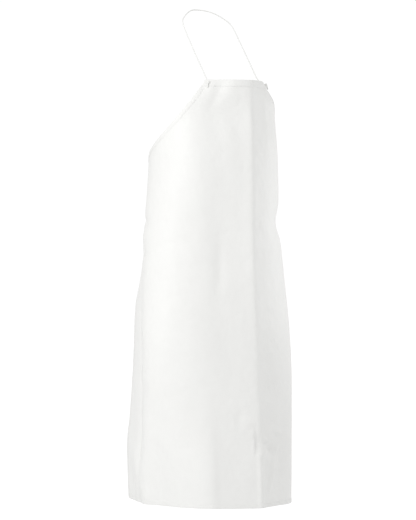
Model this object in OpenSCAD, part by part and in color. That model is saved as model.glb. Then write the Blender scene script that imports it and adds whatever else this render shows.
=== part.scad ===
/* [Sheet] */
// Width of the cut sheet at the hem
sheet_w = 900; // [880:10:920]
// Length of the cut sheet from the bib edge to the hem
sheet_l = 1100; // [1080:10:1120]
// Width of the bib edge
bib_w = 245; // [240:5:250]
// Depth of the armhole cut below the bib edge
armhole_depth = 245; // [240:5:255]
// Thickness of the coated sheet
sheet_t = 0.8; // [0.6:0.1:1]

/* [Edges] */
// Width of the folded tape on the armholes, sides and hem
tape_w = 10; // [8:1:12]
// Depth of the folded facing over the bib edge
facing_w = 18; // [18:1:22]
// Thickness of the tape and of the facing
tape_t = 0.6; // [0.5:0.1:0.8]

/* [Eyelets] */
// Diameter of the hole through each eyelet
eyelet_bore = 6; // [5.5:0.5:6.5]
// Diameter of the eyelet's front flange and of its washer
eyelet_flange = 11; // [10.5:0.5:12]

/* [Neck cord] */
// Diameter of the neck cord
cord_d = 3.2; // [3:0.1:3.4]
// Height of the nape above the bib edge
nape_rise = 193; // [191:1:195]

/* [Drape] */
// How far the hem's side corners ride up
side_lift = 19; // [10:1:28]

/* [Hidden] */

// Exact round parts
$fn = 48;

// The sheet hangs as a stack of level sections. Each section is walked outward from the
// centre front: its heading is that of an ellipse, plus a crease down the centre front,
// less a fold near each side that turns the free side strip outward.
// Stations are [depth below the bib edge, value].
front_reach = [[0, 215], [60, 215], [190, 221], [400, 224], [720, 239], [1100, 257]];
girth_side = [[0, 140], [60, 199], [190, 203], [400, 236], [720, 263], [1100, 237]];
girth_depth = [[0, 139], [60, 100], [190, 149], [400, 140], [720, 124], [1100, 166]];
crease_turn = [[0, 12], [60, 14], [190, 7], [400, 12], [720, 12], [1100, 9]];
side_turn = [[0, 0], [380, 0], [600, 36], [850, 43], [1100, 42]];
crease_soft = 12;
side_fold_at = 355;
side_fold_soft = 8;
armhole_slant = 0.54;

// Columns of the half sheet at full width, measured along the cloth from the centre front
half_columns = [0, 14, 40, 70, 100, 130, 160, 190, 220, 250, 280, 310, 335, 355, 380, 410];
full_columns = concat(half_columns, [sheet_w / 2 - tape_w, sheet_w / 2]);
last_column = len(full_columns) - 1;
armhole_rows = 14;
side_rows = 13;
patch_row_h = 34;
rows = concat(
  [0, facing_w],
  [for (i = [1:armhole_rows]) facing_w + (armhole_depth - facing_w) * pow(i / armhole_rows, 0.75)],
  [for (i = [0:side_rows])
    let (top = armhole_depth + patch_row_h, low = sheet_l - tape_w)
    top + (low - top) * i / side_rows],
  [sheet_l]
);
armhole_end_row = armhole_rows + 1;
hem_row = len(rows) - 2;
last_row = len(rows) - 1;
walk_step = 5;
walk_count = ceil(sheet_w / 2 / walk_step) + 1;

// Stack of layers, as offsets along the sheet's normal; + is away from the wearer
sheet_face = sheet_t / 2;
tape_gap = 0.2;
tape_in = sheet_face + tape_gap;
tape_out = tape_in + tape_t;
edge_gap = 0.4;
seat_gap = 0.35;
eyelet_wall = 0.5;
flange_t = 0.8;
washer_t = 0.7;
lip_t = 0.6;
lip_w = 0.9;
fit_gap = 0.1;
hole_gap = 0.2;
hole_r = eyelet_bore / 2 + eyelet_wall + hole_gap;
hole_depth = 12;
back_seat = tape_out + seat_gap;
back_end = back_seat + washer_t + fit_gap + lip_t;
tape_end_gap = 0.3;
// Share of its cell that a waist patch covers, across and down
patch_span = [0.06, 0.94];
patch_drop = [0.08, 0.92];

// Neck cord
cord_r = cord_d / 2;
cord_sides = 8;
cord_pitch = 8;
knot_r = 4;
// How far the knot sinks onto the flange, as a share of its radius
knot_sink = 0.2;
knot_gap = 0.2;
knot_tail = 12;
// The cord is a little fuller where it turns
turn_r = cord_r + 0.2;
stub_end = back_end + turn_r + 0.3;
// Where the cord bends over the bib edge when its loop is lifted, and how far above that bend
// the loop's own tube starts, so that it clears the cord's lower end over the whole lift
cord_bend = [89, -139, -186];
bend_gap = 4;
// Half of the cord's route on +X, from above the bib edge to the nape
route_half = [
  [88, -134, -180],
  [88, -122, -162],
  [88, -95, -123],
  [87, -68, -83],
  [86, -51, -57],
  [84, -41, -42],
  [78, -33, -31],
  [66, -26, -21],
  [51, -19, -12],
  [35, -11, -5],
  [17, -3, -1],
];

// ---- Helpers ----

function unit(a) = a / norm(a);
function flip(p) = [-p.x, p.y, p.z];
function mix(a, b, u) = a + (b - a) * u;

// Smooth monotone curve through stations
function chord(t, i) = (t[i + 1][1] - t[i][1]) / (t[i + 1][0] - t[i][0]);
function tangent(t, i) =
  i == 0 ? chord(t, 0) :
  i == len(t) - 1 ? chord(t, i - 1) :
  chord(t, i - 1) * chord(t, i) <= 0 ? 0 :
  2 * chord(t, i - 1) * chord(t, i) / (chord(t, i - 1) + chord(t, i));
function ease(t, v) =
  let (
    i = max([for (k = [0:len(t) - 2]) if (k == 0 || v >= t[k][0]) k]),
    h = t[i + 1][0] - t[i][0],
    u = (v - t[i][0]) / h
  )
  (2 * u * u * u - 3 * u * u + 1) * t[i][1]
  + (u * u * u - 2 * u * u + u) * h * tangent(t, i)
  + (3 * u * u - 2 * u * u * u) * t[i + 1][1]
  + (u * u * u - u * u) * h * tangent(t, i + 1);

// ---- Cut of the flat sheet ----

function armhole_part(v) = min(v / armhole_depth, 1);
// Half width of the sheet at depth v
function half_width(v) =
  let (p = armhole_part(v))
  bib_w / 2 + (sheet_w - bib_w) / 2 * (armhole_slant * p + (1 - armhole_slant) * p * p * p);
// Level width that the tape covers at depth v, wider where the armhole slants
function tape_level_w(v) =
  let (
    p = armhole_part(v),
    slope = (sheet_w - bib_w) / 2 / armhole_depth * (armhole_slant + 3 * (1 - armhole_slant) * p * p)
  )
  v >= armhole_depth ? tape_w : tape_w * sqrt(1 + slope * slope);
function columns(v) =
  let (
    w = half_width(v),
    inner = w - tape_level_w(v)
  )
  [for (j = [0:last_column])
    j == last_column ? w : full_columns[j] * inner / full_columns[last_column - 1]];

// ---- Draped surface ----

// Heading of the section in degrees, at distance s from the centre front and ellipse angle t
function heading(g, s, t) =
  atan2(g[1] * sin(t), g[0] * cos(t))
  + g[2] * (1 - 2 / (exp(2 * s / crease_soft) + 1))
  - g[3] / (1 + exp((side_fold_at - s) / side_fold_soft));
function turn_rate(g, t) =
  180 / PI / sqrt(pow(g[0] * cos(t), 2) + pow(g[1] * sin(t), 2));
// One small step [ellipse angle, x, y] along the section
function step(g, st, s) =
  let (
    mid = st[0] + turn_rate(g, st[0]) * walk_step / 2,
    h = heading(g, s, mid)
  )
  [st[0] + turn_rate(g, mid) * walk_step, st[1] + cos(h) * walk_step, st[2] + sin(h) * walk_step];
// The +X half of the section at depth v, walked in equal steps
function walk(g, reach) = [for (
  i = 0, st = [0, 0, -reach];
  i <= walk_count;
  st = step(g, st, (i + 0.5) * walk_step),
  i = i + 1
) st];
// Level section at depth v as [point, outward normal] for each distance in c
function section(v, c) =
  let (
    g = [ease(girth_side, v), ease(girth_depth, v), ease(crease_turn, v), ease(side_turn, v)],
    path = walk(g, ease(front_reach, v)),
    lift = side_lift * v / sheet_l
  )
  [for (s = c)
    let (
      i = floor(s / walk_step),
      st = mix(path[i], path[i + 1], s / walk_step - i),
      h = heading(g, s, st[0])
    )
    [[st[1], st[2], -nape_rise - v + lift * pow(s / half_width(v), 2)], [sin(h), -cos(h), 0]]];

half_grid = [for (v = rows) section(v, columns(v))];
// Whole sheet, -X half first: column k runs from 0 to 2 * last_column
grid = [for (half = half_grid)
  concat(
    [for (j = [last_column:-1:1]) [flip(half[j][0]), flip(half[j][1])]],
    half
  )];
function at(q, off) = q[0] + off * q[1];

// A closed slab between two equal grids of points. Cells left of column fold are split along
// their other diagonal, so that a symmetric grid gives a symmetric slab.
module slab(front, back, fold = 0) {
  nr = len(front);
  nc = len(front[0]);
  size = nr * nc;
  function f(r, k) = r * nc + k;
  function b(r, k) = size + r * nc + k;
  points = [for (side = [front, back]) for (row = side) for (p = row) p];
  faces = [
    for (r = [0:nr - 2]) for (k = [fold:1:nc - 2]) for (tri = [
      [f(r, k), f(r, k + 1), f(r + 1, k + 1)],
      [f(r, k), f(r + 1, k + 1), f(r + 1, k)],
      [b(r, k), b(r + 1, k + 1), b(r, k + 1)],
      [b(r, k), b(r + 1, k), b(r + 1, k + 1)],
    ]) tri,
    for (r = [0:nr - 2]) for (k = [0:1:fold - 1]) for (tri = [
      [f(r, k), f(r, k + 1), f(r + 1, k)],
      [f(r, k + 1), f(r + 1, k + 1), f(r + 1, k)],
      [b(r, k), b(r + 1, k), b(r, k + 1)],
      [b(r, k + 1), b(r + 1, k), b(r + 1, k + 1)],
    ]) tri,
    for (k = [0:nc - 2]) for (quad = [
      [b(0, k), b(0, k + 1), f(0, k + 1), f(0, k)],
      [f(nr - 1, k), f(nr - 1, k + 1), b(nr - 1, k + 1), b(nr - 1, k)],
    ]) quad,
    for (r = [0:nr - 2]) for (quad = [
      [b(r, 0), f(r, 0), f(r + 1, 0), b(r + 1, 0)],
      [f(r, nc - 1), b(r, nc - 1), b(r + 1, nc - 1), f(r + 1, nc - 1)],
    ]) quad,
  ];
  polyhedron(points, faces, convexity = 8);
}

// Folded tape: eight corners of a U around an edge, from an inner and an edge point
function u_section(inner, edge) =
  let (
    out = unit(edge[0] - inner[0]),
    near = edge_gap * out,
    far = (edge_gap + tape_t) * out
  )
  [
    at(inner, tape_out), at(edge, tape_out) + far, at(edge, -tape_out) + far, at(inner, -tape_out),
    at(inner, -tape_in), at(edge, -tape_in) + near, at(edge, tape_in) + near, at(inner, tape_in),
  ];
// Segment i is split from its inner point to the next edge point where leans[i] is true, and
// from its edge point to the next inner one elsewhere, as the sheet under it is split.
module folded_tape(sections, leans) {
  n = len(sections);
  m = 8;
  function q(i, j) = i * m + j % m;
  // Sides 2, 3, 6 and 7 of the U run from the edge inward
  function inward(j) = floor(j / 2) % 2 == 1;
  cap = [[0, 1, 6, 7], [1, 2, 5, 6], [2, 3, 4, 5]];
  faces = [
    for (c = cap) [c[3], c[2], c[1], c[0]],
    for (i = [0:n - 2]) for (j = [0:m - 1]) for (tri = leans[i] != inward(j) ? [
      [q(i, j), q(i, j + 1), q(i + 1, j + 1)],
      [q(i, j), q(i + 1, j + 1), q(i + 1, j)],
    ] : [
      [q(i, j), q(i, j + 1), q(i + 1, j)],
      [q(i, j + 1), q(i + 1, j + 1), q(i + 1, j)],
    ]) tri,
    for (c = cap) [for (j = c) q(n - 1, j)],
  ];
  polyhedron([for (s = sections) for (p = s) p], faces, convexity = 6);
}

// ---- Eyelet places: [point on the sheet, outward normal] ----

// A point inside cell (r, j) of the +X half, at fractions u across and w down
function cell_point(r, j, u, w) =
  mix(
    mix(half_grid[r][j][0], half_grid[r][j + 1][0], u),
    mix(half_grid[r + 1][j][0], half_grid[r + 1][j + 1][0], u),
    w
  );
function cell_normal(r, j) =
  unit(cross(
    half_grid[r + 1][j + 1][0] - half_grid[r][j][0],
    half_grid[r][j + 1][0] - half_grid[r + 1][j][0]
  ));
bib_eyelet_column = 15;
waist_eyelet_column = 15;
bib_seat = [cell_point(0, bib_eyelet_column, 0.75, 0.5), cell_normal(0, bib_eyelet_column)];
waist_seat = [
  cell_point(armhole_end_row, waist_eyelet_column, 0.5, 0.5),
  cell_normal(armhole_end_row, waist_eyelet_column)
];

// Turns +Z to the seat's outward normal and moves to the seat
module on_seat(seat) {
  n = seat[1];
  translate(seat[0])
    rotate([0, acos(n.z), atan2(n.y, n.x)])
      children();
}
module eyelet_hole(seat) {
  on_seat(seat)
    cylinder(r = hole_r, h = hole_depth, center = true);
}

// Flange and barrel in one, with the rolled lip that traps the washer
module eyelet(front_seat) {
  bore = eyelet_bore / 2;
  barrel = bore + eyelet_wall;
  rim = eyelet_flange / 2;
  top = front_seat + flange_t;
  lip_top = -back_end + lip_t;
  lip_rim = barrel + lip_w;
  throat = 0.2;
  slope_w = 1;
  round_w = 0.4;
  rotate_extrude()
    polygon([
      [bore, top - throat],
      [bore + throat, top],
      [rim - slope_w, top],
      [rim, front_seat + throat],
      [rim, front_seat],
      [barrel, front_seat],
      [barrel, lip_top],
      [lip_rim, lip_top],
      [lip_rim, -back_end + throat],
      [lip_rim - round_w, -back_end],
      [bore, -back_end],
    ]);
}
module washer() {
  inner = eyelet_bore / 2 + eyelet_wall + fit_gap;
  rim = eyelet_flange / 2;
  cut = 0.4;
  translate([0, 0, -back_seat - washer_t])
    rotate_extrude()
      polygon([[inner, 0], [rim - cut, 0], [rim, cut], [rim, washer_t], [inner, washer_t]]);
}
bib_front_seat = tape_out + seat_gap;
waist_front_seat = sheet_face + seat_gap;

// ---- Cord ----

// The hinge line of the loop runs through the bends of the two legs
leg_start = cord_bend + bend_gap * unit(route_half[0] - cord_bend);
route_side = concat([leg_start], route_half);
route = concat(
  route_side,
  [[0, 0, 0]],
  [for (i = [len(route_side) - 1:-1:0]) flip(route_side[i])]
);
function route_knot(i) = route[max(0, min(len(route) - 1, i))];
// Smooth curve through the route's points
function route_point(i, u) =
  let (
    a = route_knot(i - 1),
    b = route_knot(i),
    c = route_knot(i + 1),
    d = route_knot(i + 2)
  )
  0.5 * (2 * b + (c - a) * u + (2 * a - 5 * b + 4 * c - d) * u * u
    + (3 * b - a - 3 * c + d) * u * u * u);
cord_line = concat(
  [for (i = [0:len(route) - 2])
    let (n = max(1, round(norm(route[i + 1] - route[i]) / cord_pitch)))
    for (k = [0:n - 1]) route_point(i, k / n)],
  [route[len(route) - 1]]
);
// Never parallel to the cord, which lies close to one sloping plane
loop_normal = unit([0, 0.85, -0.53]);
module cord_tube(line) {
  n = len(line);
  rings = [for (i = [0:n - 1])
    let (
      along = unit(line[min(i + 1, n - 1)] - line[max(i - 1, 0)]),
      side = unit(cross(along, loop_normal)),
      up = cross(side, along)
    )
    for (j = [0:cord_sides - 1])
    line[i] + cord_r * (cos(360 * j / cord_sides) * side + sin(360 * j / cord_sides) * up)];
  function q(i, j) = i * cord_sides + j % cord_sides;
  faces = [
    [for (j = [0:cord_sides - 1]) q(0, j)],
    for (i = [0:n - 2]) for (j = [0:cord_sides - 1]) for (tri = [
      [q(i, j), q(i + 1, j + 1), q(i, j + 1)],
      [q(i, j), q(i + 1, j), q(i + 1, j + 1)],
    ]) tri,
    [for (j = [cord_sides - 1:-1:0]) q(n - 1, j)],
  ];
  polyhedron(rings, faces, convexity = 8);
}
// A round length of cord, fuller where it turns at its far end
module cord_length(a, b) {
  d = b - a;
  translate(a)
    rotate([0, acos(d.z / norm(d)), atan2(d.y, d.x)])
      cylinder(r = cord_r, h = norm(d));
  translate(b)
    sphere(r = turn_r);
}
// Stopper knot outside the eyelet and its cut tail, with the cord that passes back through the
// hole and up behind the bib to the bend
module cord_end() {
  knot_z = bib_front_seat + flange_t + knot_gap + knot_r * (1 - knot_sink);
  turn = at(bib_seat, -stub_end);
  union() {
    on_seat(bib_seat)
      translate([0, 0, knot_z])
        union() {
          sphere(r = knot_r);
          rotate([0, 90, 0])
            cylinder(r = cord_r, h = knot_tail);
        }
    cord_length(at(bib_seat, knot_z), turn);
    cord_length(turn, cord_bend);
  }
}

// ---- Pieces ----

module apron_panel() {
  color("white")
    difference() {
      slab(
        [for (row = grid) [for (q = row) at(q, sheet_face)]],
        [for (row = grid) [for (q = row) at(q, -sheet_face)]],
        last_column
      );
      for (side = [0, 1])
        mirror([side, 0, 0]) {
          eyelet_hole(bib_seat);
          eyelet_hole(waist_seat);
        }
    }
}
module bib_facing() {
  color("whitesmoke")
    difference() {
      folded_tape(
        [for (k = [0:2 * last_column]) u_section(grid[1][k], grid[0][k])],
        [for (k = [0:2 * last_column - 1]) k < last_column]
      );
      eyelet_hole(bib_seat);
      mirror([1, 0, 0])
        eyelet_hole(bib_seat);
    }
}
// Tape on the +X edge between two rows; its ends stop just short of its neighbours
module edge_tape(first, last) {
  clear = [0, 0, tape_end_gap];
  color("whitesmoke")
    folded_tape(
      [for (r = [first:last])
        let (
          nudge = r == first ? -clear : r == last ? clear : [0, 0, 0],
          row = half_grid[r],
          s = u_section(row[last_column - 1], row[last_column])
        )
        [for (p = s) p + nudge]],
      [for (r = [first:last - 1]) true]
    );
}
module bottom_binding() {
  color("whitesmoke")
    folded_tape(
      [for (k = [2 * last_column:-1:0]) u_section(grid[hem_row][k], grid[last_row][k])],
      [for (k = [0:2 * last_column - 1]) k >= last_column]
    );
}
// Square patch on the back of the sheet, within one cell of the waist corner
module waist_patch() {
  r = armhole_end_row;
  j = waist_eyelet_column;
  n = cell_normal(r, j);
  function corner(u, w, off) = cell_point(r, j, u, w) + off * n;
  color("whitesmoke")
    difference() {
      slab(
        [for (w = patch_drop) [for (u = patch_span) corner(u, w, -tape_in)]],
        [for (w = patch_drop) [for (u = patch_span) corner(u, w, -tape_out)]]
      );
      eyelet_hole(waist_seat);
    }
}
module bib_eyelet() {
  color("ivory")
    on_seat(bib_seat)
      eyelet(bib_front_seat);
}
module bib_washer() {
  color("ivory")
    on_seat(bib_seat)
      washer();
}
module waist_eyelet() {
  color("ivory")
    on_seat(waist_seat)
      eyelet(waist_front_seat);
}
module waist_washer() {
  color("ivory")
    on_seat(waist_seat)
      washer();
}
module neck_knot() {
  color("white")
    cord_end();
}
module neck_cord() {
  color("white")
    cord_tube(cord_line);
}
// The wearer's right is -X, so pieces built on +X are the left-hand ones
module other_side() {
  mirror([1, 0, 0])
    children();
}

apron_panel();
bib_facing();
other_side() edge_tape(1, armhole_end_row);  // armhole_binding_right
edge_tape(1, armhole_end_row);  // armhole_binding_left
other_side() edge_tape(armhole_end_row, hem_row);  // side_binding_right
edge_tape(armhole_end_row, hem_row);  // side_binding_left
bottom_binding();
other_side() waist_patch();  // waist_patch_right
waist_patch();  // waist_patch_left
other_side() bib_eyelet();  // bib_eyelet_right
bib_eyelet();  // bib_eyelet_left
other_side() bib_washer();  // bib_washer_right
bib_washer();  // bib_washer_left
other_side() waist_eyelet();  // waist_eyelet_right
waist_eyelet();  // waist_eyelet_left
other_side() waist_washer();  // waist_washer_right
waist_washer();  // waist_washer_left
other_side() neck_knot();  // neck_knot_right
neck_knot();  // neck_knot_left
neck_cord();
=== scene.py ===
import math

import bmesh
import bpy
import numpy as np
from mathutils import Matrix, Vector


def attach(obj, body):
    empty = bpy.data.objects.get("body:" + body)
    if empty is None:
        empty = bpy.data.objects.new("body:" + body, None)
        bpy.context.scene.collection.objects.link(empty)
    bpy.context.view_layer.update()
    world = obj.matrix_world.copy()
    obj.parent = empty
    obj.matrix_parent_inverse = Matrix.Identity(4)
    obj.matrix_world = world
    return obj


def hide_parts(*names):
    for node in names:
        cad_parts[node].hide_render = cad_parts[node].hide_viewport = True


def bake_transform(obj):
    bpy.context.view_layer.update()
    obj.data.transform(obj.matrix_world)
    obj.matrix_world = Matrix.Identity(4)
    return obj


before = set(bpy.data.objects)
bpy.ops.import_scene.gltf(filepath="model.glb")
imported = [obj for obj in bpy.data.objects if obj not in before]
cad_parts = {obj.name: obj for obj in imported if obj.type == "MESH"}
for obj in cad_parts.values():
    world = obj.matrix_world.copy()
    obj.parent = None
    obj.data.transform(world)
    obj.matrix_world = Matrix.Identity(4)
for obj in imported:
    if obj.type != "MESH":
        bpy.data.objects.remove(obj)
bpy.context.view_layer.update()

# ---- Sizes, in millimetres, the same as the design's ----

SHEET_W, SHEET_L = 900.0, 1100.0
BIB_W, ARMHOLE_DEPTH, ARMHOLE_SLANT = 245.0, 245.0, 0.54
NAPE_RISE, SIDE_LIFT = 193.0, 19.0
SHEET_T = 0.8
TAPE_W, FACING_W = 10.0, 18.0
PATCH_S, PATCH_V = (411.8, 438.2), (247.7, 276.3)
# Behind an eyelet, from the sheet's middle: the washer, its thickness, and where the cord turns up
BACK_SEAT, WASHER_T, STUB_END = 1.55, 0.7, 5.05
HOLE_R = 3.7
CORD_D = 3.2
MM = 0.001
# The wearer's sides
SIDES = (("right", -1), ("left", 1))

# The sheet hangs as a stack of level sections. Stations are (depth below the bib edge, value).
FRONT_REACH = [(0, 215), (60, 215), (190, 221), (400, 224), (720, 239), (1100, 257)]
GIRTH_SIDE = [(0, 140), (60, 199), (190, 203), (400, 236), (720, 263), (1100, 237)]
GIRTH_DEPTH = [(0, 139), (60, 100), (190, 149), (400, 140), (720, 124), (1100, 166)]
CREASE_TURN = [(0, 12), (60, 14), (190, 7), (400, 12), (720, 12), (1100, 9)]
SIDE_TURN = [(0, 0), (380, 0), (600, 36), (850, 43), (1100, 42)]
CREASE_SOFT, SIDE_FOLD_AT, SIDE_FOLD_SOFT = 12.0, 355.0, 8.0
# A step along a section, half as long as the design's
WALK_STEP = 2.5

# Half of the neck cord's route on +X, from its bend above the bib edge to the nape
CORD_BEND = (89, -139, -186)
CORD_ROUTE = [
    (88, -134, -180), (88, -122, -162), (88, -95, -123), (87, -68, -83), (86, -51, -57),
    (84, -41, -42), (78, -33, -31), (66, -26, -21), (51, -19, -12), (35, -11, -5), (17, -3, -1),
]


# ---- Camera ----

def make_camera():
    """Long lens from the wearer's front right, level with the middle of the apron."""
    target, distance = Vector((0.0053, -0.0363, -0.6558)), 9.128
    azimuth, elevation = math.radians(40.3), math.radians(-0.15)
    along = Vector((
        math.sin(azimuth) * math.cos(elevation),
        math.cos(azimuth) * math.cos(elevation),
        -math.sin(elevation),
    ))
    data = bpy.data.cameras.new("camera")
    data.lens = 241.6
    data.sensor_width = 36
    data.clip_end = 100
    cam = bpy.data.objects.new("camera", data)
    cam.rotation_mode = "QUATERNION"
    cam.location = target - distance * along
    cam.rotation_quaternion = along.to_track_quat("-Z", "Y")
    bpy.context.collection.objects.link(cam)
    bpy.context.scene.camera = cam


make_camera()


# ---- Mesh helpers ----

def unit(a):
    return a / np.linalg.norm(a, axis=-1, keepdims=True)


def new_piece(name, points, faces, material, uvs=None, sharp=None):
    """A smooth mesh object from points in millimetres; uvs hold one pair for each point."""
    mesh = bpy.data.meshes.new(name)
    mesh.from_pydata((np.asarray(points) * MM).tolist(), [], [list(map(int, f)) for f in faces])
    mesh.materials.append(material)
    if uvs is not None:
        layer = mesh.uv_layers.new(name="cloth")
        loops = np.empty(len(mesh.loops), int)
        mesh.loops.foreach_get("vertex_index", loops)
        layer.data.foreach_set("uv", (np.asarray(uvs)[loops] * MM).ravel())
    mesh.shade_smooth()
    if sharp is not None:
        crisp_edges(mesh, sharp)
    obj = bpy.data.objects.new(name, mesh)
    bpy.context.collection.objects.link(obj)
    return obj


def crisp_edges(mesh, degrees):
    """Keeps the edges that fold by more than this angle sharp."""
    bm = bmesh.new()
    bm.from_mesh(mesh)
    bmesh.ops.recalc_face_normals(bm, faces=bm.faces)
    for edge in bm.edges:
        if len(edge.link_faces) == 2 and edge.calc_face_angle(0) > math.radians(degrees):
            edge.smooth = False
    bm.to_mesh(mesh)
    bm.free()


def grid_faces(rows, cols, start=0, closed=False, turn=False):
    """Quads over a rows x cols grid of points; closed joins the last column to the first."""
    faces = []
    for r in range(rows - 1):
        for c in range(cols if closed else cols - 1):
            a, b = start + r * cols + c, start + r * cols + (c + 1) % cols
            quad = (a, b, b + cols, a + cols)
            faces.append(quad[::-1] if turn else quad)
    return faces


def tube(name, line, radius, sides, material, cap=True):
    """A round tube along a line of points, with round ends. radius is one number or one a point."""
    line = np.asarray(line, float)
    radius = np.broadcast_to(np.asarray(radius, float), len(line)).copy()
    if cap:
        ends = []
        for p, q, r in ((line[0], line[1], radius[0]), (line[-1], line[-2], radius[-1])):
            out = unit(p - q)
            ends.append([(p + out * r * math.sin(a), r * math.cos(a)) for a in (0.5, 1.0, 1.5)])
        line = np.array([p for p, _ in ends[0][::-1]] + list(line) + [p for p, _ in ends[1]])
        radius = np.array([r for _, r in ends[0][::-1]] + list(radius) + [r for _, r in ends[1]])
    tangent = unit(np.gradient(line, axis=0))
    side = np.cross(tangent[0], (0.3, 0.5, 0.8))
    points, uvs = [], []
    run = np.concatenate([[0], np.cumsum(np.linalg.norm(np.diff(line, axis=0), axis=1))])
    for k, p in enumerate(line):
        side = side - tangent[k] * np.dot(side, tangent[k])
        side = side / np.linalg.norm(side)
        up = np.cross(tangent[k], side)
        for j in range(sides):
            a = 2 * math.pi * j / sides
            points.append(p + radius[k] * (math.cos(a) * side + math.sin(a) * up))
            uvs.append((radius.max() * min(a, 2 * math.pi - a), run[k]))
    faces = grid_faces(len(line), sides, closed=True)
    faces += [tuple(range(sides))[::-1], tuple((len(line) - 1) * sides + j for j in range(sides))]
    return new_piece(name, points, faces, material, uvs)


def smooth_line(points, pitch):
    """A Catmull-Rom curve through points, with a new point about every pitch."""
    pts = [np.asarray(p, float) for p in points]
    ext = [pts[0]] + pts + [pts[-1]]
    line = []
    for i in range(len(pts) - 1):
        a, b, c, d = ext[i:i + 4]
        n = max(1, round(np.linalg.norm(c - b) / pitch))
        for k in range(n):
            u = k / n
            line.append(0.5 * (2 * b + (c - a) * u + (2 * a - 5 * b + 4 * c - d) * u * u
                               + (3 * b - a - 3 * c + d) * u * u * u))
    return np.array(line + [pts[-1]])


# ---- Materials ----

class Nodes:
    """A small helper that builds one material's node tree."""

    def __init__(self, name, roughness, sheen=0.0, coat=0.0):
        self.material = bpy.data.materials.new(name)
        self.material.use_nodes = True
        self.tree = self.material.node_tree
        self.shader = self.tree.nodes["Principled BSDF"]
        self.shader.inputs["Roughness"].default_value = roughness
        self.shader.inputs["IOR"].default_value = 1.45
        self.shader.inputs["Sheen Weight"].default_value = sheen
        self.shader.inputs["Sheen Roughness"].default_value = 0.5
        self.shader.inputs["Coat Weight"].default_value = coat
        self.shader.inputs["Coat Roughness"].default_value = 0.3
        self.last_bump = None

    def link(self, a, b):
        self.tree.links.new(a, b)

    def add(self, kind, **values):
        node = self.tree.nodes.new(kind)
        for key, value in values.items():
            if key in node.inputs:
                node.inputs[key].default_value = value
            else:
                setattr(node, key, value)
        return node

    def math(self, operation, a, b=None):
        node = self.add("ShaderNodeMath", operation=operation)
        for socket, value in zip(node.inputs, (a, b)):
            if value is None:
                continue
            if isinstance(value, (int, float)):
                socket.default_value = value
            else:
                self.link(value, socket)
        return node.outputs[0]

    def coordinates(self, uv):
        node = self.add("ShaderNodeTexCoord")
        return node.outputs["UV" if uv else "Object"]

    def split(self, vector):
        node = self.add("ShaderNodeSeparateXYZ")
        self.link(vector, node.inputs[0])
        return node.outputs

    def noise(self, vector, scale, detail=4.0, rough=0.55):
        node = self.add("ShaderNodeTexNoise", Scale=scale, Detail=detail, Roughness=rough)
        self.link(vector, node.inputs["Vector"])
        return node.outputs["Fac"]

    def ripple(self, coordinate, pitch):
        """A rounded ridge every pitch metres along a coordinate, from 0 to 1."""
        turn = self.math("MULTIPLY", coordinate, math.pi / pitch)
        return self.math("ABSOLUTE", self.math("SINE", turn))

    def weave(self, vector, pitch):
        """Threads that cross, each pitch metres wide."""
        across, along, _ = self.split(vector)
        return self.math("MAXIMUM", self.ripple(across, pitch), self.ripple(along, pitch))

    def bump(self, height, strength, distance):
        node = self.add("ShaderNodeBump", Strength=strength, Distance=distance)
        self.link(height, node.inputs["Height"])
        if self.last_bump is not None:
            self.link(self.last_bump, node.inputs["Normal"])
        self.last_bump = node.outputs["Normal"]
        self.link(self.last_bump, self.shader.inputs["Normal"])

    def colour(self, factor, low, high, start=0.3, end=0.7):
        node = self.add("ShaderNodeValToRGB")
        for stop, position, colour in zip(node.color_ramp.elements, (start, end), (low, high)):
            stop.position = position
            stop.color = (*colour, 1)
        self.link(factor, node.inputs[0])
        return node.outputs[0]

    def paint(self, socket):
        self.link(socket, self.shader.inputs["Base Color"])

    def vary_roughness(self, factor, low, high):
        span = self.add("ShaderNodeMapRange")
        span.inputs["To Min"].default_value = low
        span.inputs["To Max"].default_value = high
        self.link(factor, span.inputs["Value"])
        self.link(span.outputs[0], self.shader.inputs["Roughness"])


WHITE = (0.80, 0.80, 0.785)
# Pitches in metres, as materials are drawn in metres
WEAVE_PITCH, PATCH_WEAVE_PITCH, RIB_PITCH, BRAID_PITCH = 0.0006, 0.0009, 0.0009, 0.0022
BRAID_SLANT = 0.9


def tint(factor):
    return tuple(factor * c for c in WHITE)


def coated_cloth():
    """White coated cloth: the base weave telegraphs through a smooth matte coating."""
    m = Nodes("coated_cloth", roughness=0.5, sheen=0.12)
    uv = m.coordinates(uv=True)
    m.paint(m.colour(m.noise(uv, 7.0, detail=5.0), tint(0.985), tint(1.005)))
    m.vary_roughness(m.noise(uv, 60.0), 0.42, 0.58)
    # Slack in the cloth, then the coating's grain, then the weave under it
    m.bump(m.noise(uv, 16.0, detail=2.0), 0.6, 0.006)
    m.bump(m.noise(uv, 900.0, detail=3.0), 0.25, 0.0002)
    m.bump(m.weave(uv, WEAVE_PITCH), 0.2, 0.00008)
    return m.material


def edge_tape():
    """Grosgrain-like coated tape with ribs across it."""
    m = Nodes("edge_tape", roughness=0.48, sheen=0.1)
    uv = m.coordinates(uv=True)
    m.paint(m.colour(m.noise(uv, 30.0), tint(0.97), tint(1.0)))
    m.vary_roughness(m.noise(uv, 200.0), 0.4, 0.55)
    m.bump(m.noise(uv, 120.0, detail=2.0), 0.3, 0.0006)
    _, along, _ = m.split(uv)
    m.bump(m.ripple(along, RIB_PITCH), 0.35, 0.00012)
    return m.material


def facing_cloth():
    """The sheet's cloth, folded double and pressed."""
    m = Nodes("facing_cloth", roughness=0.5, sheen=0.12)
    uv = m.coordinates(uv=True)
    m.paint(m.colour(m.noise(uv, 22.0), tint(0.975), tint(1.0)))
    m.vary_roughness(m.noise(uv, 90.0), 0.42, 0.58)
    m.bump(m.noise(uv, 55.0, detail=2.0), 0.35, 0.0012)
    m.bump(m.weave(uv, WEAVE_PITCH), 0.25, 0.00008)
    return m.material


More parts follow.
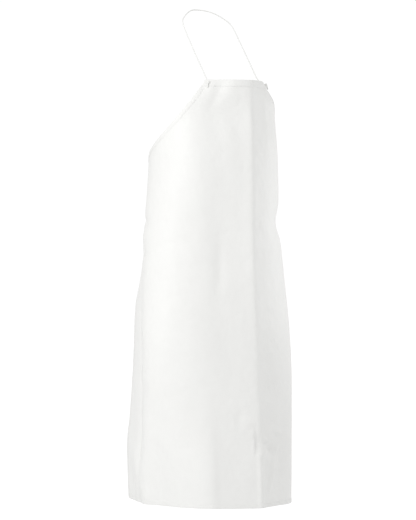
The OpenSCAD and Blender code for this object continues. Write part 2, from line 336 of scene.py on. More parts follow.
def patch_cloth():
    """A coarser cloth, with its weave plain to see."""
    m = Nodes("patch_cloth", roughness=0.55, sheen=0.15)
    uv = m.coordinates(uv=True)
    m.paint(m.colour(m.noise(uv, 120.0), tint(0.94), tint(0.98)))
    m.vary_roughness(m.noise(uv, 300.0), 0.5, 0.62)
    m.bump(m.noise(uv, 90.0, detail=2.0), 0.3, 0.0008)
    m.bump(m.weave(uv, PATCH_WEAVE_PITCH), 0.5, 0.00015)
    return m.material


def eyelet_plastic():
    """Moulded white plastic, with faint flow marks and rubbed spots."""
    m = Nodes("eyelet_plastic", roughness=0.3, coat=0.15)
    place = m.coordinates(uv=False)
    m.paint(m.colour(m.noise(place, 220.0), (0.78, 0.78, 0.76), (0.83, 0.83, 0.81)))
    m.vary_roughness(m.noise(place, 500.0), 0.22, 0.42)
    m.bump(m.noise(place, 700.0, detail=2.0), 0.2, 0.0001)
    return m.material


def cord_braid():
    """Braided cord: two sets of strands that cross on its surface."""
    m = Nodes("cord_braid", roughness=0.7, sheen=0.3)
    uv = m.coordinates(uv=True)
    u, v, _ = m.split(uv)
    one = m.ripple(m.math("ADD", m.math("MULTIPLY", u, BRAID_SLANT), v), BRAID_PITCH)
    two = m.ripple(m.math("SUBTRACT", m.math("MULTIPLY", u, BRAID_SLANT), v), BRAID_PITCH)
    braid = m.math("MAXIMUM", one, two)
    # The colour follows the strands' height: painted shade in the grooves between the strands, and a
    # painted highlight on their crests.
    m.paint(m.colour(braid, tint(0.96), tint(1.03), 0.35, 0.85))
    m.bump(braid, 0.55, 0.0004)
    m.bump(m.noise(uv, 4000.0, detail=2.0), 0.3, 0.0001)
    return m.material


def sewing_thread():
    """Twisted polyester thread."""
    m = Nodes("sewing_thread", roughness=0.45, sheen=0.2)
    place = m.coordinates(uv=False)
    m.paint(m.colour(m.noise(place, 900.0), tint(0.98), tint(1.04)))
    m.bump(m.noise(place, 3000.0, detail=2.0), 0.5, 0.0001)
    return m.material


CLOTH, TAPE, FACING = coated_cloth(), edge_tape(), facing_cloth()
PATCH, PLASTIC, BRAID, THREAD = patch_cloth(), eyelet_plastic(), cord_braid(), sewing_thread()


# ---- Eyelet seats, read from the washers behind the cloth ----

def washer_seat(node, outward):
    """Centre of the seat on the sheet's middle, and the sheet's outward normal there."""
    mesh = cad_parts[node].data
    pts = np.array([v.co for v in mesh.vertices], float) / MM
    centre = (pts.max(axis=0) + pts.min(axis=0)) / 2
    normal = np.linalg.svd(pts - pts.mean(axis=0), full_matrices=False)[2][2]
    normal = normal * np.sign(np.dot(normal, outward))
    height = (pts - centre) @ normal
    middle = centre + normal * (height.max() + height.min()) / 2
    return middle + normal * (BACK_SEAT + WASHER_T / 2), normal


BIB_SEATS = {side: washer_seat(f"bib_washer_{side}", (sign, -1, 0.5)) for side, sign in SIDES}
WAIST_SEATS = {side: washer_seat(f"waist_washer_{side}", (sign, 1, 0)) for side, sign in SIDES}
SEATS = list(BIB_SEATS.values()) + list(WAIST_SEATS.values())


# ---- The draped surface ----

def ease(stations, v):
    """Smooth monotone curve through stations."""
    x = np.array([a for a, _ in stations], float)
    y = np.array([b for _, b in stations], float)
    chord = np.diff(y) / np.diff(x)
    tangent = np.empty_like(y)
    tangent[0], tangent[-1] = chord[0], chord[-1]
    rising = chord[:-1] * chord[1:] > 0
    total = np.where(rising, chord[:-1] + chord[1:], 1)
    tangent[1:-1] = np.where(rising, 2 * chord[:-1] * chord[1:] / total, 0)
    i = np.clip(np.searchsorted(x, v, side="right") - 1, 0, len(x) - 2)
    h = x[i + 1] - x[i]
    u = (v - x[i]) / h
    return ((2 * u**3 - 3 * u**2 + 1) * y[i] + (u**3 - 2 * u**2 + u) * h * tangent[i]
            + (3 * u**2 - 2 * u**3) * y[i + 1] + (u**3 - u**2) * h * tangent[i + 1])


def half_width(v):
    """Half width of the cut sheet at depth v."""
    p = np.clip(v / ARMHOLE_DEPTH, 0, 1)
    return BIB_W / 2 + (SHEET_W - BIB_W) / 2 * (ARMHOLE_SLANT * p + (1 - ARMHOLE_SLANT) * p**3)


def walk(v):
    """x, y and heading along the +X half of the level sections at depths v."""
    side, depth = ease(GIRTH_SIDE, v), ease(GIRTH_DEPTH, v)
    crease, turn = np.radians(ease(CREASE_TURN, v)), np.radians(ease(SIDE_TURN, v))

    def rate(t):
        return 1 / np.hypot(side * np.cos(t), depth * np.sin(t))

    def heading(s, t):
        fold = turn / (1 + np.exp((SIDE_FOLD_AT - s) / SIDE_FOLD_SOFT))
        return (np.arctan2(depth * np.sin(t), side * np.cos(t))
                + crease * math.tanh(s / CREASE_SOFT) - fold)

    t, x, y = np.zeros_like(v), np.zeros_like(v), -ease(FRONT_REACH, v)
    sections = [(x, y, heading(0.0, t))]
    for k in range(int(SHEET_W / 2 / WALK_STEP) + 2):
        mid = t + rate(t) * WALK_STEP / 2
        h = heading((k + 0.5) * WALK_STEP, mid)
        t = t + rate(mid) * WALK_STEP
        x, y = x + np.cos(h) * WALK_STEP, y + np.sin(h) * WALK_STEP
        sections.append((x, y, heading((k + 1) * WALK_STEP, t)))
    return np.array(sections)


# x, y and heading at every step along every level
SECTIONS = walk(np.arange(0, SHEET_L + WALK_STEP, WALK_STEP))


def base_surface(s, v):
    """Points and level outward normals of the plain drape; s is negative on the -X half."""
    away, down = np.abs(s) / WALK_STEP, v / WALK_STEP
    i = np.clip(away.astype(int), 0, SECTIONS.shape[0] - 2)
    k = np.clip(down.astype(int), 0, SECTIONS.shape[2] - 2)
    u, w = away - i, down - k
    x0, y0, h0 = SECTIONS[i, :, k].T * (1 - w) + SECTIONS[i, :, k + 1].T * w
    x1, y1, h1 = SECTIONS[i + 1, :, k].T * (1 - w) + SECTIONS[i + 1, :, k + 1].T * w

    def cubic(p, q, dp, dq):
        return ((2 * u**3 - 3 * u**2 + 1) * p + (3 * u**2 - 2 * u**3) * q
                + WALK_STEP * ((u**3 - 2 * u**2 + u) * dp + (u**3 - u**2) * dq))

    x = cubic(x0, x1, np.cos(h0), np.cos(h1))
    y = cubic(y0, y1, np.sin(h0), np.sin(h1))
    h = h0 * (1 - u) + h1 * u
    z = -NAPE_RISE - v + SIDE_LIFT * v / SHEET_L * (s / half_width(v))**2
    mirror = np.where(s < 0, -1.0, 1.0)
    return (np.stack([mirror * x, y, z], axis=-1),
            np.stack([mirror * np.sin(h), -np.cos(h), np.zeros_like(h)], axis=-1))


def ramp(x, low, high):
    """From 0 at low to 1 at high, with soft ends."""
    t = np.clip((x - low) / (high - low), 0, 1)
    return t * t * (3 - 2 * t)


def bell(x, centre, width):
    return np.exp(-((x - centre) / width)**2)


# How far the cloth stands off the plain drape along the hem: (s, rise). The folds grow between
# the two depths below.
HEM_FOLDS = [
    (-450, 0.0), (-405, -3.3), (-372, 4.4), (-325, 8.8), (-275, -7.7), (-205, 0.0), (-140, 8.8),
    (-112, 1.76), (-60, -3.96), (-14, -2.64), (0, 1.32), (28, -7.92), (62, -12.32), (105, -13.2),
    (150, -2.2), (205, 4.4), (255, -8.8), (315, 6.6), (360, 4.4), (405, -3.3), (450, 0.0),
]
HEM_START, HEM_FULL = 780.0, 1050.0

# A hollow runs down each side of the front crease: (v, depth) on the +X side and the -X side. Each
# is deepest a little beyond its distance from the crease below, as the crease is rounded.
HOLLOW_LEFT = [(0, 2.0), (330, 2.0), (650, 1.6), (900, 2.6), (1100, 2.0)]
HOLLOW_RIGHT = [(0, 1.0), (30, 2.0), (110, 10.0), (420, 10.0), (650, 5.0), (1100, 1.0)]
HOLLOW_LEFT_AT, HOLLOW_RIGHT_AT, CREASE_ROUND = 30.0, 55.0, 9.0

# A wide hollow on the -X side of the front, from the chest to the thighs: (v, depth)
FRONT_HOLLOW = [(0, 0.6), (110, 3.4), (560, 3.8), (820, 1.6), (1100, 0.0)]
FRONT_HOLLOW_AT, FRONT_HOLLOW_W = -94.0, 40.0

# Dents and swells: (s, v, half width, half height, tilt in degrees, rise)
DENTS = [
    # Bib: a slack diagonal from the facing, and small swells beside it
    (-88, 28, 13, 46, 30, -3.3), (-52, 22, 20, 30, 20, 1.54), (-36, 62, 10, 16, 20, -1.1),
    (64, 70, 16, 60, -8, 1.98), (-60, 150, 16, 60, -12, 1.1),
    # Waist: the cloth is pinched at the sides and pulls faint lines across the front
    (-94, 490, 15, 68, 4, -2.86), (-332, 366, 34, 9, 4, -3.96), (-336, 408, 36, 13, 0, 2.2),
    (-338, 455, 30, 9, -5, -3.52), (330, 372, 34, 10, -4, -3.96), (334, 440, 32, 12, 6, -2.64),
    (120, 395, 36, 12, -8, -1.76), (-180, 420, 60, 12, 6, -1.32), (180, 366, 70, 34, 0, -11.0),
    # Thigh: a knocked place on the crease, with small ridges round it
    (-3, 936, 13, 25, 0, -7.92), (-20, 908, 5, 8, 10, 3.52), (-17, 940, 4, 20, 4, 2.86),
    (2, 966, 14, 4, -20, 3.52), (34, 930, 20, 4.5, 20, 3.74), (58, 952, 24, 13, 30, -5.72),
    (100, 912, 30, 7, 20, 3.52), (50, 800, 16, 26, 30, -3.52), (-55, 870, 10, 22, 10, -1.98),
    (-30, 880, 12, 14, -15, 1.76), (70, 1020, 10, 60, 24, 3.52), (-250, 960, 12, 30, -24, 2.64),
]

# The side strip is pressed into a groove where it turns outward: (v, depth)
GROOVE = [(0, 0), (330, 0), (480, 2.2), (950, 3.0), (1060, 1.0), (1100, 0.5)]
GROOVE_AT, GROOVE_W = SIDE_FOLD_AT - 4, 9.0

# The -X hem corner is creased along the line between these two places, (s, v), and the cloth
# rises to it over a spread and falls away beyond it at a slope
CORNER_LINE = ((-404, 958), (-336, 1066))
CORNER_RISE, CORNER_SPREAD, CORNER_SLOPE = 8.0, 55.0, 0.2

# Height of the slow slack over the whole sheet
SLACK = 0.8


def corner_fold(s, v):
    """The cloth swells up to the corner's crease and falls away beyond it."""
    (s0, v0), (s1, v1) = CORNER_LINE
    past = ((v - v0) * (s1 - s0) - (s - s0) * (v1 - v0)) / math.hypot(s1 - s0, v1 - v0)
    near = CORNER_RISE * bell(np.minimum(past, 0), 0, CORNER_SPREAD)
    beyond = CORNER_RISE - CORNER_SLOPE * np.maximum(past, 0)
    return np.where(past < 0, near, beyond) * ramp(v, 880, 1010) * ramp(-s, 270, 345)


def folds(s, v):
    """How far the cloth stands off the plain drape, outward."""
    out = ease(HEM_FOLDS, s) * ramp(v, HEM_START, HEM_FULL)
    past_crease = np.hypot(s, CREASE_ROUND) - CREASE_ROUND
    away = past_crease / np.where(s > 0, HOLLOW_LEFT_AT, HOLLOW_RIGHT_AT)
    depth = np.where(s > 0, ease(HOLLOW_LEFT, v), ease(HOLLOW_RIGHT, v))
    out -= depth * away * np.exp(1 - away)
    out -= ease(FRONT_HOLLOW, v) * bell(s, FRONT_HOLLOW_AT, FRONT_HOLLOW_W)
    out -= ease(GROOVE, v) * bell(np.abs(s), GROOVE_AT, GROOVE_W)
    for s0, v0, half_w, half_h, tilt, rise in DENTS:
        c, k = math.cos(math.radians(tilt)), math.sin(math.radians(tilt))
        a, b = (s - s0) * c + (v - v0) * k, (v - v0) * c - (s - s0) * k
        out += rise * bell(a, 0, half_w) * bell(b, 0, half_h)
    # The slack dies out towards the bib edge. Its waves have unequal lengths, so as not to repeat.
    slack = (np.sin(s / 61 + v / 173 + 0.6) * np.sin(v / 97 - s / 211)
             + 0.6 * np.sin(s / 37 - v / 131 + 2.1) * np.sin(v / 71 + s / 157 + 1.3))
    return out + corner_fold(s, v) + SLACK * slack * ramp(v, 20, 160)


# The cloth is flat this far from an eyelet's centre, and free beyond the second distance
SEAT_R, SEAT_BLEND_R = 8.0, 24.0


def near_seats(p):
    """Presses the cloth flat against each eyelet's seat."""
    for seat, normal in SEATS:
        gap = p - seat
        far = np.linalg.norm(gap, axis=-1)
        hold = 1 - ramp(far, SEAT_R, SEAT_BLEND_R)
        p = p - (hold * (gap @ normal))[:, None] * normal
    return p


def settled(s, v):
    """The sheet's middle with its folds, pressed flat at the eyelets."""
    p, n = base_surface(s, v)
    return near_seats(p + folds(s, v)[:, None] * n)


NORMAL_STEP = 0.6


def surface(s, v):
    """Points and normals of the settled cloth, in millimetres, at distances s and depths v."""
    s, v = np.broadcast_arrays(np.asarray(s, float), np.asarray(v, float))
    shape = s.shape
    s, v = s.ravel(), v.ravel()
    p = settled(s, v)
    e = NORMAL_STEP
    across = settled(s + e, v) - settled(s - e, v)
    down = settled(s, v + e) - settled(s, v - e)
    n = unit(np.cross(down, across))
    return p.reshape(*shape, 3), n.reshape(*shape, 3)


# ---- The sheet ----

# Widths of the sheet's columns, and its rows under the facing and below it
WIDE_COLUMN, TIGHT_COLUMN = 6.5, 2.7
FACED_ROWS, PLAIN_ROWS, FACED_DEPTH = 12, 172, 24.0


def sheet_columns():
    """Shares of the half width, closer at the centre crease and the side folds."""
    s = [0.0]
    while s[-1] < SHEET_W / 2 - 3:
        here = s[-1]
        tight = max(math.exp(-(here / 22)**2), 0.7 * math.exp(-((here - SIDE_FOLD_AT) / 25)**2))
        s.append(here + WIDE_COLUMN - (WIDE_COLUMN - TIGHT_COLUMN) * tight)
    s = np.array(s) * (SHEET_W / 2) / s[-1]
    return np.concatenate([-s[:0:-1], s]) / (SHEET_W / 2)


def sheet_rows():
    """Depths of the rows, closer under the facing and its eyelets."""
    return np.concatenate([np.linspace(0, FACED_DEPTH, FACED_ROWS + 1)[:-1],
                           np.linspace(FACED_DEPTH, SHEET_L, PLAIN_ROWS)])


def make_panel():
    """The one cut sheet: a face, a back and the rim between them."""
    share, rows = sheet_columns(), sheet_rows()
    v = np.repeat(rows[:, None], len(share), axis=1)
    s = share[None, :] * half_width(v)
    p, n = surface(s, v)
    nr, nc = s.shape
    points = np.concatenate([(p + n * SHEET_T / 2).reshape(-1, 3),
                             (p - n * SHEET_T / 2).reshape(-1, 3)])
    flat = np.stack([s, -v], axis=-1).reshape(-1, 2)
    count = nr * nc
    faces = grid_faces(nr, nc, turn=True) + grid_faces(nr, nc, start=count)
    rim = ([r * nc for r in range(nr)] + [(nr - 1) * nc + c for c in range(1, nc)]
           + [r * nc + nc - 1 for r in range(nr - 2, -1, -1)] + list(range(nc - 2, 0, -1)))
    for a, b in zip(rim, rim[1:] + rim[:1]):
        faces.append((b, a, a + count, b + count))
    panel = new_piece("apron_sheet", points, faces, CLOTH, np.concatenate([flat, flat]), sharp=50)
    cut_holes(panel, SEATS)
    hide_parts("apron_panel")
    return panel


def cut_holes(piece, seats):
    """Round holes for the eyelets' barrels."""
    bm = bmesh.new()
    for seat, normal in seats:
        turn = Vector(normal).to_track_quat("Z", "Y").to_matrix().to_4x4()
        bmesh.ops.create_cone(
            bm, cap_ends=True, segments=40, radius1=HOLE_R * MM, radius2=HOLE_R * MM,
            depth=12 * MM, matrix=Matrix.Translation(Vector(seat * MM)) @ turn)
    mesh = bpy.data.meshes.new("cutter")
    bm.to_mesh(mesh)
    bm.free()
    cutter = bpy.data.objects.new("cutter", mesh)
    bpy.context.collection.objects.link(cutter)
    modifier = piece.modifiers.new("holes", "BOOLEAN")
    modifier.operation = "DIFFERENCE"
    modifier.solver = "EXACT"
    modifier.object = cutter
    graph = bpy.context.evaluated_depsgraph_get()
    cut = bpy.data.meshes.new_from_object(piece.evaluated_get(graph))
    old = piece.data
    piece.modifiers.remove(modifier)
    piece.data = cut
    bpy.data.meshes.remove(old)
    bpy.data.objects.remove(cutter)
    bpy.data.meshes.remove(mesh)


# ---- Tapes, facing and patches ----

# Heights from the sheet's middle: inside the fold, outside the tape, outside the doubled facing
TAPE_INNER, TAPE_OUT, FACING_OUT = 0.46, 0.98, 1.5
# Where the stitches run, inward from the border
TAPE_SEAM, FACING_SEAM = TAPE_W - 2.2, FACING_W - 2.4
# A tape stops this far short of the corner where the next begins
TAPE_GAP = 0.3
# A cut end is pressed thin over this length, to this share of the tape's height
END_ROUND, END_PRESS = 1.6, 0.35
# The underside's place across the cloth pattern starts here, so that it doesn't repeat the face's
UNDERSIDE_AT = 40.0


class Edge:
    """A stretch of the sheet's border in the flat: points (s, v) and inward directions."""

    def __init__(self, s, v, inward_s, inward_v):
        self.s, self.v = np.asarray(s, float), np.asarray(v, float)
        self.ins = np.broadcast_to(np.asarray(inward_s, float), self.s.shape)
        self.inv = np.broadcast_to(np.asarray(inward_v, float), self.s.shape)
        self.run = np.concatenate([[0], np.cumsum(np.hypot(np.diff(self.s), np.diff(self.v)))])

    def cut_at(self, run):
        """The same border with points at these distances along it."""
        return Edge(*(np.interp(run, self.run, a) for a in (self.s, self.v, self.ins, self.inv)))

    def even(self, pitch):
        """Distances along the border, about one pitch apart."""
        return np.linspace(0, self.run[-1], max(2, round(self.run[-1] / pitch) + 1))

    def place(self, q, off):
        """Points at q inward from the border and off outward from the sheet's middle."""
        q, off = np.broadcast_arrays(np.asarray(q, float), np.asarray(off, float))
        inside = np.maximum(q, 0)
        p, n = surface(self.s + inside * self.ins, self.v + inside * self.inv)
        if (q < 0).any():
            near, _ = surface(self.s + self.ins, self.v + self.inv)
            first, _ = surface(self.s, self.v)
            p = p + np.maximum(-q, 0)[..., None] * unit(first - near)
        return p + off[..., None] * n


def armhole_edge(sign):
    v = np.linspace(FACING_W + TAPE_GAP, ARMHOLE_DEPTH - TAPE_GAP, 200)
    s = half_width(v)
    ds, dv = np.gradient(s), np.gradient(v)
    size = np.hypot(ds, dv)
    return Edge(sign * s, v, -sign * dv / size, ds / size)


def side_edge(sign):
    v = np.linspace(ARMHOLE_DEPTH + TAPE_GAP, SHEET_L - TAPE_W - TAPE_GAP, 160)
    return Edge(np.full_like(v, sign * SHEET_W / 2), v, -sign, 0)


def hem_edge():
    s = np.linspace(-SHEET_W / 2, SHEET_W / 2, 160)
    return Edge(s, np.full_like(s, SHEET_L), 0, -1)


def bib_edge():
    """The bib's top border; the facing widens with the bib below it."""
    s = np.linspace(-BIB_W / 2, BIB_W / 2, 90)
    flare = (half_width(1.0) - half_width(0.0)) / (BIB_W / 2)
    return Edge(s, np.zeros_like(s), flare * s, 1)


def tape_section(width, seam, full):
    """Outline of folded tape as (inward, outward) pairs, drawn down along its seam."""
    front = [(width, 0.6), (width - 0.3, full - 0.25), (width - 0.8, full - 0.05),
             (seam + 1.3, full), (seam + 0.5, full - 0.05), (seam, full - 0.13),
             (seam - 0.5, full - 0.05), (seam - 1.4, full + 0.02), (seam * 0.5, full + 0.03),
             (0.8, full), (-0.1, full - 0.12), (-0.62, 0.7), (-0.9, 0.3)]
    back = [(q, -off) for q, off in front[::-1]]
    inner = TAPE_INNER
    tucked = [(width, -inner), (seam * 0.5, -inner), (0.1, -inner), (-0.25, 0), (0.1, inner),
              (seam * 0.5, inner), (width, inner)]
    return front + back + tucked


def make_tape(name, edge, width, seam, material, node, full=TAPE_OUT, pitch=4.0, wander=0.25):
    """Sweeps the folded tape along the border, its inner edge a little uneven as sewn."""
    even = edge.even(pitch)
    last = even[-1]
    ends = END_ROUND * np.array([0.1875, 0.5, 1.0])
    run = np.unique(np.concatenate([even, ends, last - ends]))
    e = edge.cut_at(run)
    outline = tape_section(width, seam, full)
    n, m = len(run), len(outline)
    from_end = np.minimum(run, last - run)
    rounded = np.sqrt(1 - (1 - np.clip(from_end / END_ROUND, 0, 1))**2)
    press = END_PRESS + (1 - END_PRESS) * rounded
    wave = wander * (np.sin(run / 23 + 0.7) + 0.6 * np.sin(run / 9.1 + 2.0)) * ramp(from_end, 0, 16)
    points = np.empty((n, m, 3))
    flat = np.empty((n, m, 2))
    for j, (q, off) in enumerate(outline):
        inward = q + wave * max(0.0, q / width)
        above = max(abs(off) - TAPE_INNER, 0)
        height = abs(off) - above + above * press
        points[:, j] = e.place(inward, np.copysign(height, off))
        flat[:, j] = np.stack([inward if off > 0 else UNDERSIDE_AT + inward, run], axis=-1)
    faces = grid_faces(n, m, closed=True)
    faces += [tuple(range(m))[::-1], tuple((n - 1) * m + j for j in range(m))]
    piece = new_piece(name, points.reshape(-1, 3), faces, material, flat.reshape(-1, 2), sharp=55)
    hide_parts(node)
    return piece


# Points along each side of the patch, and its faces' distances behind the sheet's middle
PATCH_GRID, PATCH_INNER, PATCH_OUT = 15, 0.45, 1.1


def make_patch(side, sign):
    """Patch behind the waist eyelet, with rounded corners and a rim that its seam pulls down."""
    grid = PATCH_GRID
    a = np.linspace(-1, 1, grid)
    u, w = np.meshgrid(a, a)
    # Rounds the corners
    pull = 1 - 0.07 * (np.abs(u) * np.abs(w))**4
    half_s, half_v = (PATCH_S[1] - PATCH_S[0]) / 2, (PATCH_V[1] - PATCH_V[0]) / 2
    s = sign * ((PATCH_S[0] + PATCH_S[1]) / 2 + half_s * u * pull)
    v = (PATCH_V[0] + PATCH_V[1]) / 2 + half_v * w * pull
    p, n = surface(s, v)
    rim = np.maximum(np.abs(u), np.abs(w))
    out = PATCH_OUT - 0.2 * bell(rim, 0.86, 0.06) - 0.3 * ramp(rim, 0.93, 1.0)
    layers = [p - PATCH_INNER * n, p - out[..., None] * n]
    points = np.concatenate([q.reshape(-1, 3) for q in layers])
    count = grid * grid
    faces = grid_faces(grid, grid) + grid_faces(grid, grid, start=count, turn=True)
    border = (list(range(grid)) + [r * grid + grid - 1 for r in range(1, grid)]
              + [(grid - 1) * grid + c for c in range(grid - 2, -1, -1)]
              + [r * grid for r in range(grid - 2, 0, -1)])
    for i, j in zip(border, border[1:] + border[:1]):
        faces.append((j, i, i + count, j + count))
    flat = np.stack([s, -v], axis=-1).reshape(-1, 2)
    piece = new_piece(f"patch_{side}", points, faces, PATCH, np.concatenate([flat, flat]), sharp=50)
    cut_holes(piece, [WAIST_SEATS[side]])
    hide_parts(f"waist_patch_{side}")
    return piece


# ---- Stitching ----

STITCH_PITCH, STITCH_L = 3.2, 2.7
THREAD_R, THREAD_SIDES, THREAD_SUNK = 0.2, 5, 0.17
# One stitch: (share of its length, lift, share of the thread's radius)
STITCH = ((0.0, -0.16, 0.55), (0.18, 0.08, 1.0), (0.5, 0.13, 1.0), (0.82, 0.08, 1.0),
          (1.0, -0.16, 0.55))


def stitches(name, lines):
    """One mesh of short thread bars; lines are (start points, end points, outward normals)."""
    points, faces = [], []
    start = 0
    for a, b, n in lines:
        axis = unit(b - a)
        side = unit(np.cross(axis, n))
        rings = []
        for t, lift, size in STITCH:
            centre = a + (b - a) * t + n * lift
            for j in range(THREAD_SIDES):
                turn = 2 * math.pi * j / THREAD_SIDES
                rings.append(centre + THREAD_R * size * (math.cos(turn) * side + math.sin(turn) * n))
        block = np.stack(rings, axis=1)
        count, per = block.shape[0], block.shape[1]
        points.append(block.reshape(-1, 3))
        for k in range(count):
            base = start + k * per
            faces += grid_faces(len(STITCH), THREAD_SIDES, start=base, closed=True)
            faces.append(tuple(base + j for j in range(THREAD_SIDES))[::-1])
            faces.append(tuple(base + per - THREAD_SIDES + j for j in range(THREAD_SIDES)))
        start += count * per
    piece = new_piece(name, np.concatenate(points), faces, THREAD)
    return piece


def seam(edge, q, top):
    """Stitches along a border at q inward, sunk in both faces of work that is top high."""
    e = edge.cut_at(edge.even(STITCH_PITCH))
    lines = []
    share = STITCH_L / STITCH_PITCH
    s0, v0 = e.s[:-1] + q * e.ins[:-1], e.v[:-1] + q * e.inv[:-1]
    s1, v1 = e.s[1:] + q * e.ins[1:], e.v[1:] + q * e.inv[1:]
    # No stitch is quite in line with the last
    number = np.arange(len(e.s) - 1)
    jitter = 0.12 * np.sin(number * 1.7) + 0.1 * np.sin(number * 0.61 + 1)
    s0, v0 = s0 + jitter * e.ins[:-1], v0 + jitter * e.inv[:-1]
    s1, v1 = s0 + (s1 - s0) * share, v0 + (v1 - v0) * share
    a, na = surface(s0, v0)
    b, nb = surface(s1, v1)
    for face in (1, -1):
        n = face * unit(na + nb)
        lift = (top - THREAD_SUNK) * n
        lines.append((a + lift, b + lift, n))
    return lines


# The patch's stitches: their inset, and their heights in front of the sheet and behind the patch
PATCH_INSET, PATCH_STITCH_FRONT, PATCH_STITCH_BACK = 2.2, 0.45, 0.98


def patch_seam(sign):
    """A square of stitches just inside the patch's border: on the sheet and on the patch."""
    s0, s1 = PATCH_S[0] + PATCH_INSET, PATCH_S[1] - PATCH_INSET
    v0, v1 = PATCH_V[0] + PATCH_INSET, PATCH_V[1] - PATCH_INSET
    corners = [(s0, v0), (s1, v0), (s1, v1), (s0, v1), (s0, v0)]
    lines = []
    for (a_s, a_v), (b_s, b_v) in zip(corners, corners[1:]):
        n = max(2, round(math.hypot(b_s - a_s, b_v - a_v) / STITCH_PITCH))
        t = np.arange(n) / n
        share = STITCH_L / STITCH_PITCH / n
        (a, na), (b, nb) = (
            surface(sign * (a_s + (b_s - a_s) * at), a_v + (b_v - a_v) * at) for at in (t, t + share))
        normal = unit(na + nb)
        front, back = PATCH_STITCH_FRONT * normal, PATCH_STITCH_BACK * normal
        lines.append((a + front, b + front, normal))
        lines.append((a - back, b - back, -normal))
    return lines


def paint_plastic(node):
    """The design's own eyelets and washers are shown, in moulded plastic."""
    if not node.material_slots:
        node.data.materials.append(PLASTIC)
    for place in node.material_slots:
        place.material = PLASTIC


# ---- The neck cord and its ends ----

def flip(p):
    return (-p[0], p[1], p[2])


def turn_point(side):
    """Where the cord turns up behind the bib, out of the eyelet."""
    seat, normal = BIB_SEATS[side]
    return seat - STUB_END * normal


def make_cord():
    """The whole loop, from behind one bib eyelet over the nape to behind the other."""
    left = [tuple(turn_point("left")), CORD_BEND] + CORD_ROUTE
    right = [tuple(turn_point("right"))] + [flip(p) for p in [CORD_BEND] + CORD_ROUTE]
    line = smooth_line(left + [(0, 0, 0)] + right[::-1], 2.5)
    # A braid tightens and swells a little along its length
    run = np.arange(len(line))
    radius = CORD_D / 2 * (1 + 0.03 * np.sin(run * 0.9) * np.sin(run * 0.23 + 0.4))
    piece = tube("neck_cord_braid", line, radius, 12, BRAID)
    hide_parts("neck_cord")
    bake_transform(piece)
    return piece, line


# The knot's middle is this far above the eyelet's seat on the cloth. Its strands are drawn tight
# and thinner than the cord.
KNOT_RISE, KNOT_STRAND_R, KNOT_SIZE, KNOT_DEPTH = 5.35, 1.5, 0.98, 1.3


def knot_line():
    """An overhand knot, drawn up tight: a closed trefoil that the two ends run out of."""
    t = np.linspace(0, 2 * math.pi, 73)
    x = np.sin(t) + 2 * np.sin(2 * t)
    y = np.cos(t) - 2 * np.cos(2 * t)
    z = -np.sin(3 * t)
    return np.stack([KNOT_SIZE * x, KNOT_SIZE * y, KNOT_DEPTH * z], axis=-1)


# Radii of the bead at the cord's cut end
MELTED_END = (1.72, 1.55)


def make_cord_end(side):
    """Knot, cut tail, and the cord's way through the eyelet into the lower end of the loop."""
    seat, normal = BIB_SEATS[side]
    up = unit(np.array([0, 0, 1.0]) - normal[2] * normal)
    across = np.cross(up, normal)
    axes = np.stack([across, up, normal])
    heart = seat + KNOT_RISE * normal
    knot = tube(f"knot_{side}", heart + knot_line() @ axes, KNOT_STRAND_R, 10, BRAID, cap=False)
    # The cut tail droops down the bib; its end is melted to a small bead
    sway = across if side == "left" else -across
    tail = smooth_line([heart + 0.8 * normal, heart - 4 * up + 0.5 * sway,
                        heart - 8.5 * up - 1.4 * normal + 0.9 * sway,
                        heart - 12.5 * up - 2.6 * normal + 0.4 * sway], 1.2)
    girth = np.full(len(tail), CORD_D / 2)
    girth[-2:] = MELTED_END
    tail_piece = tube(f"cord_tail_{side}", tail, girth, 12, BRAID)
    # Through the eyelet, and round its inner rim into the lower end of the loop
    bend = np.array(CORD_BEND if side == "left" else flip(CORD_BEND), float)
    turn = turn_point(side)
    lead = unit(bend - turn)
    inside = smooth_line([heart, seat + 1.5 * normal, seat - 2.6 * normal,
                          turn + 0.6 * normal + 0.5 * lead, turn + 2.0 * lead,
                          turn + 5.0 * lead], 0.8)
    # It is a hair thinner than the loop that it runs on in. Under the knot its strands bunch up
    # and fill the eyelet's bore.
    above = (inside - seat) @ normal
    girth = CORD_D / 2 - 0.02 + 1.3 * ramp(above, -1.5, 0.8)
    girth += 0.6 * bell(above, 3.3, 0.9) - 0.6 * ramp(above, 3.6, 5.0)
    stub = tube(f"cord_stub_{side}", inside, girth, 12, BRAID)
    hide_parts(f"neck_knot_{side}")
    for piece in (knot, tail_piece, stub):
        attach(piece, "apron")
    return [knot, tail_piece, stub]


cord_piece, cord_path = make_cord()
cord_ends = [piece for side, _ in SIDES for piece in make_cord_end(side)]

panel = make_panel()

on_sheet = [
    make_tape("bib_fold", bib_edge(), FACING_W, FACING_SEAM, FACING, "bib_facing",
              full=FACING_OUT, pitch=2.5, wander=0.2),
    make_tape("hem_tape", hem_edge(), TAPE_W, TAPE_SEAM, TAPE, "bottom_binding"),
]
cut_holes(on_sheet[0], list(BIB_SEATS.values()))
seams = seam(bib_edge(), FACING_SEAM, FACING_OUT) + seam(hem_edge(), TAPE_SEAM, TAPE_OUT)
for side, sign in SIDES:
    for part, edge in (("armhole", armhole_edge(sign)), ("side", side_edge(sign))):
        on_sheet.append(make_tape(f"{part}_tape_{side}", edge, TAPE_W, TAPE_SEAM, TAPE,
                                  f"{part}_binding_{side}"))
        seams += seam(edge, TAPE_SEAM, TAPE_OUT)
    on_sheet.append(make_patch(side, sign))
    seams += patch_seam(sign)
on_sheet.append(stitches("seam_stitches", seams))

for piece in [panel] + on_sheet:
    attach(piece, "apron")

for name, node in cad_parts.items():
    if "eyelet" in name or "washer" in name:
        paint_plastic(node)


# ---- Studio ----

FLOOR_Z, FLOOR_R = -1.52, 40.0


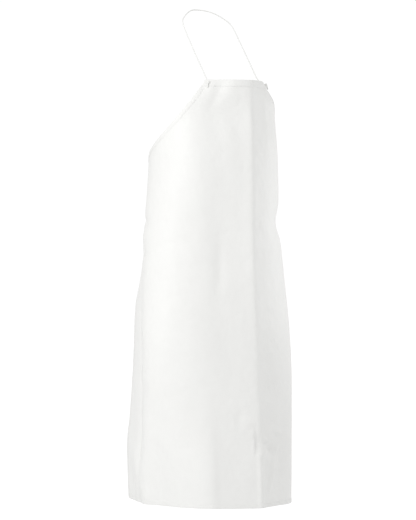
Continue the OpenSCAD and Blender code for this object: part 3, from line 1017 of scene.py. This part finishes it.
def make_floor():
    """A plain white studio floor, a little below the hem of a worn apron."""
    bm = bmesh.new()
    bmesh.ops.create_circle(bm, cap_ends=True, segments=96, radius=FLOOR_R)
    mesh = bpy.data.meshes.new("floor")
    bm.to_mesh(mesh)
    bm.free()
    floor = bpy.data.objects.new("floor", mesh)
    floor.location = (0, 0, FLOOR_Z)
    bpy.context.collection.objects.link(floor)
    m = Nodes("studio_floor", roughness=0.9)
    m.shader.inputs["Base Color"].default_value = (0.93, 0.93, 0.93, 1)
    m.shader.inputs["Emission Color"].default_value = (1, 1, 1, 1)
    # The floor is lifted to white where it is seen, and adds no light of its own
    path = m.add("ShaderNodeLightPath")
    m.link(m.math("MULTIPLY", path.outputs["Is Camera Ray"], 0.36),
           m.shader.inputs["Emission Strength"])
    mesh.materials.append(m.material)


# How bright the surroundings are as light, and as seen
SURROUND, SURROUND_SEEN = 0.825, 1.03

# Name, place, width and height in metres, and watts
SOFT_BOXES = [
    ("key_box", (-2.4, -0.85, 0.5), 1.2, 1.6, 27.0),
    ("fill_box", (0.93, -0.28, -0.5), 0.5, 0.6, 1.9),
]


def make_world():
    """Even pale surroundings, seen as plain white."""
    world = bpy.data.worlds.new("studio")
    world.use_nodes = True
    bpy.context.scene.world = world
    tree = world.node_tree
    path = tree.nodes.new("ShaderNodeLightPath")
    mix = tree.nodes.new("ShaderNodeMix")
    mix.inputs["A"].default_value = SURROUND
    mix.inputs["B"].default_value = SURROUND_SEEN
    tree.links.new(path.outputs["Is Camera Ray"], mix.inputs["Factor"])
    tree.links.new(mix.outputs["Result"], tree.nodes["Background"].inputs["Strength"])
    tree.nodes["Background"].inputs["Color"].default_value = (1, 1, 1, 1)


APRON_MIDDLE = Vector((0, -0.1, -0.7))


def make_soft_box(name, place, width, height, watts):
    """An area light aimed at the middle of the apron."""
    data = bpy.data.lights.new(name, "AREA")
    data.shape = "RECTANGLE"
    data.size, data.size_y = width, height
    data.energy = watts
    box = bpy.data.objects.new(name, data)
    box.location = place
    box.visible_camera = False
    box.rotation_mode = "QUATERNION"
    aim = APRON_MIDDLE - box.location
    box.rotation_quaternion = aim.to_track_quat("-Z", "Y")
    bpy.context.collection.objects.link(box)


make_floor()
make_world()
for soft_box in SOFT_BOXES:
    make_soft_box(*soft_box)
bpy.context.scene.view_settings.view_transform = "Standard"
